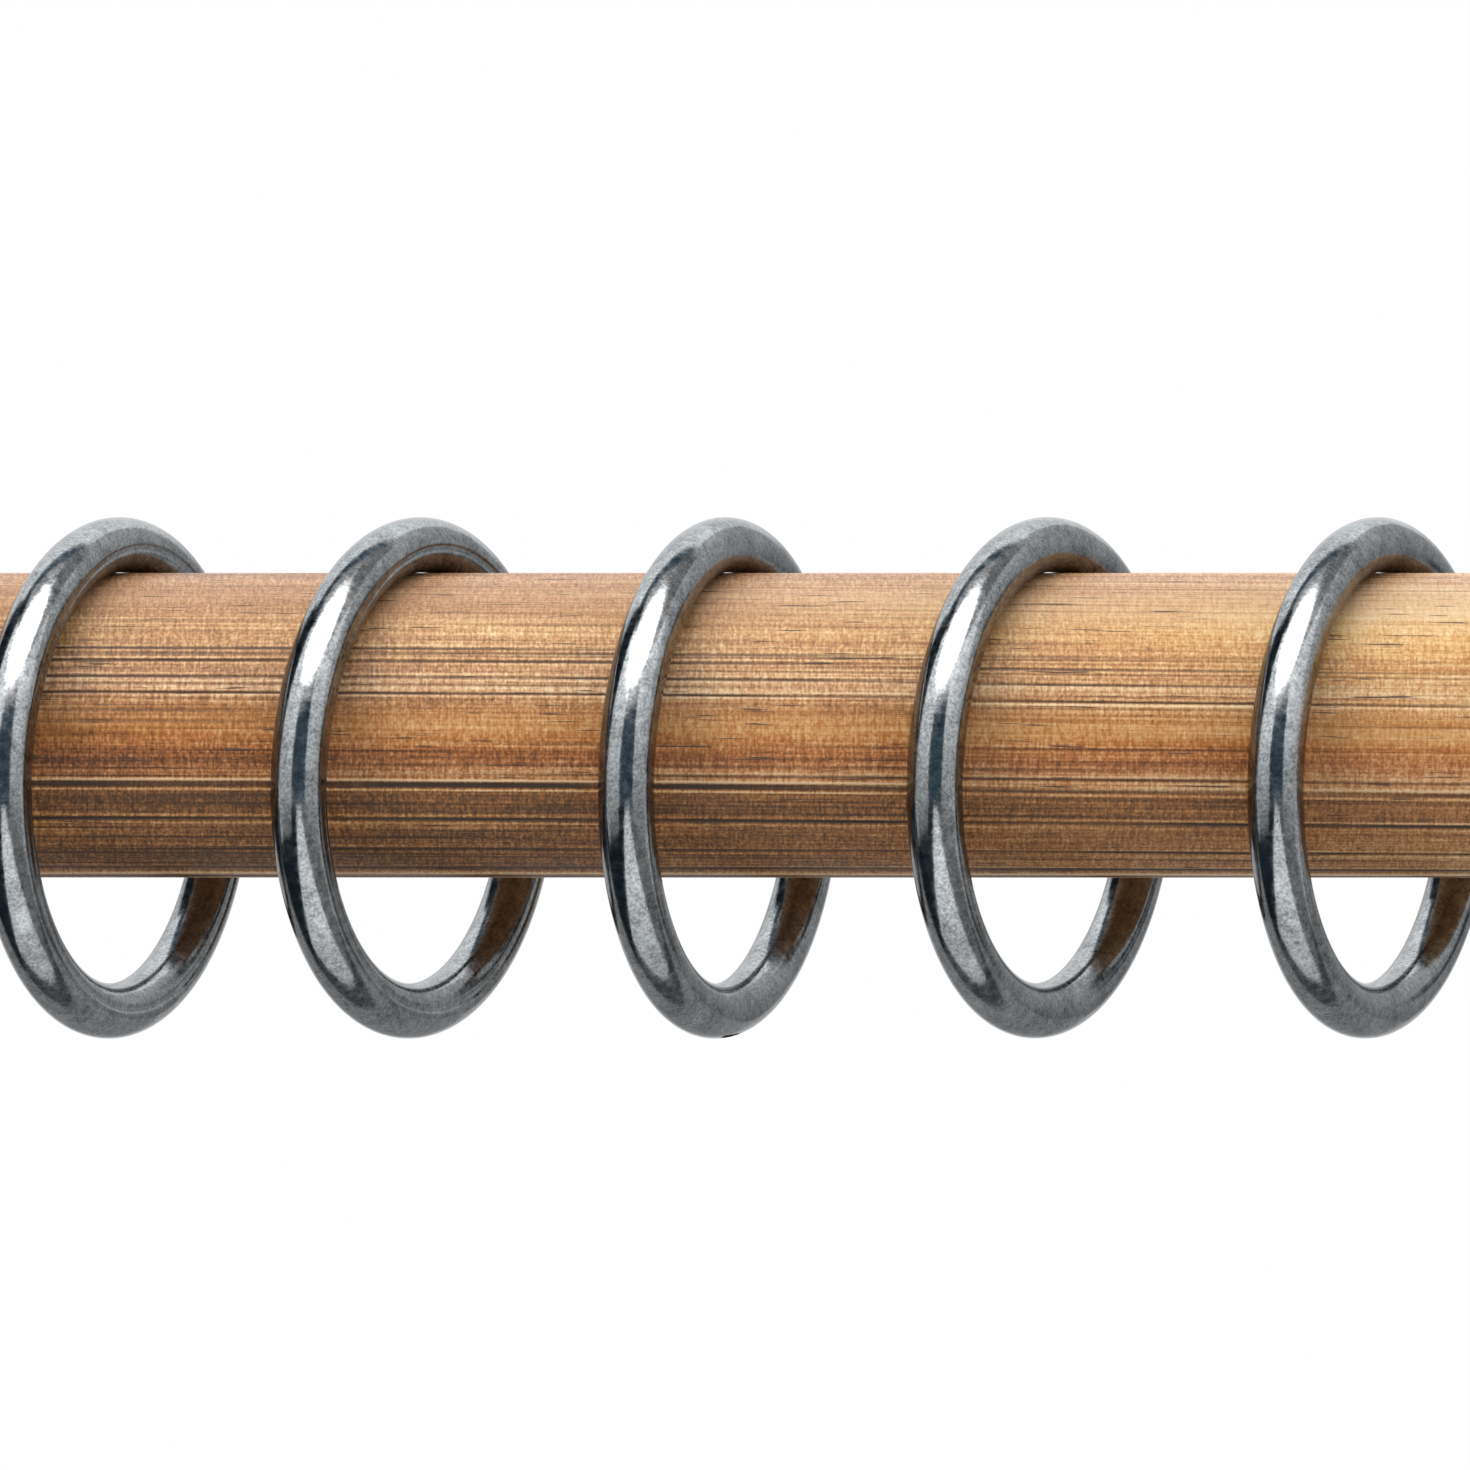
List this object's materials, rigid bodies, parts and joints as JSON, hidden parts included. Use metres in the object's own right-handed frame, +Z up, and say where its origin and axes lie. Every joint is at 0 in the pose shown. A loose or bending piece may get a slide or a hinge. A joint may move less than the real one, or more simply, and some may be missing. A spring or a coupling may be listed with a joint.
{
  "type": "curtain pole set",
  "caption": "Round wooden curtain pole with plain steel rings that slide along it, held off the wall by steel cup brackets and closed by plain steel end caps.",
  "frame": {"origin": "on the wall plane, at the centre of the four wall screw holes, 10 mm below the pole axis and midway between the brackets", "axes": "+X along the pole to the right, +Y into the wall, +Z up"},
  "size_m": [0.612, 0.1177, 0.064],
  "materials": {
    "pole_wood": "brushed, oiled, satin",
    "ring_steel": "polished, blue-grey",
    "bracket_steel": "satin, blue-grey",
    "screw_steel": "satin"
  },
  "bodies": {
    "pole_and_brackets": {"pole": "pole_wood", "wall_plate_left": "bracket_steel", "bracket_arm_left": "bracket_steel", "arm_set_screw_left": "screw_steel", "pole_screw_left": "screw_steel", "end_cap_left": "bracket_steel", "cap_set_screw_left": "screw_steel", "wall_plate_right": "bracket_steel", "bracket_arm_right": "bracket_steel", "arm_set_screw_right": "screw_steel", "pole_screw_right": "screw_steel", "end_cap_right": "bracket_steel", "cap_set_screw_right": "screw_steel"},
    "ring_1": {"ring_1": "ring_steel"},
    "ring_2": {"ring_2": "ring_steel"},
    "ring_3": {"ring_3": "ring_steel"},
    "ring_4": {"ring_4": "ring_steel"},
    "ring_5": {"ring_5": "ring_steel"}
  },
  "joints": [
    {"name": "ring_1_slide", "type": "slide", "parent": "pole_and_brackets", "child": "ring_1", "axis": [1, 0, 0], "range_m": [-0.1428, 0.0261]},
    {"name": "ring_2_slide", "type": "slide", "parent": "pole_and_brackets", "child": "ring_2", "axis": [1, 0, 0], "range_m": [-0.0261, 0.0266]},
    {"name": "ring_3_slide", "type": "slide", "parent": "pole_and_brackets", "child": "ring_3", "axis": [1, 0, 0], "range_m": [-0.0266, 0.0278]},
    {"name": "ring_4_slide", "type": "slide", "parent": "pole_and_brackets", "child": "ring_4", "axis": [1, 0, 0], "range_m": [-0.0278, 0.03]},
    {"name": "ring_5_slide", "type": "slide", "parent": "pole_and_brackets", "child": "ring_5", "axis": [1, 0, 0], "range_m": [-0.03, 0.1386]}
  ]
}
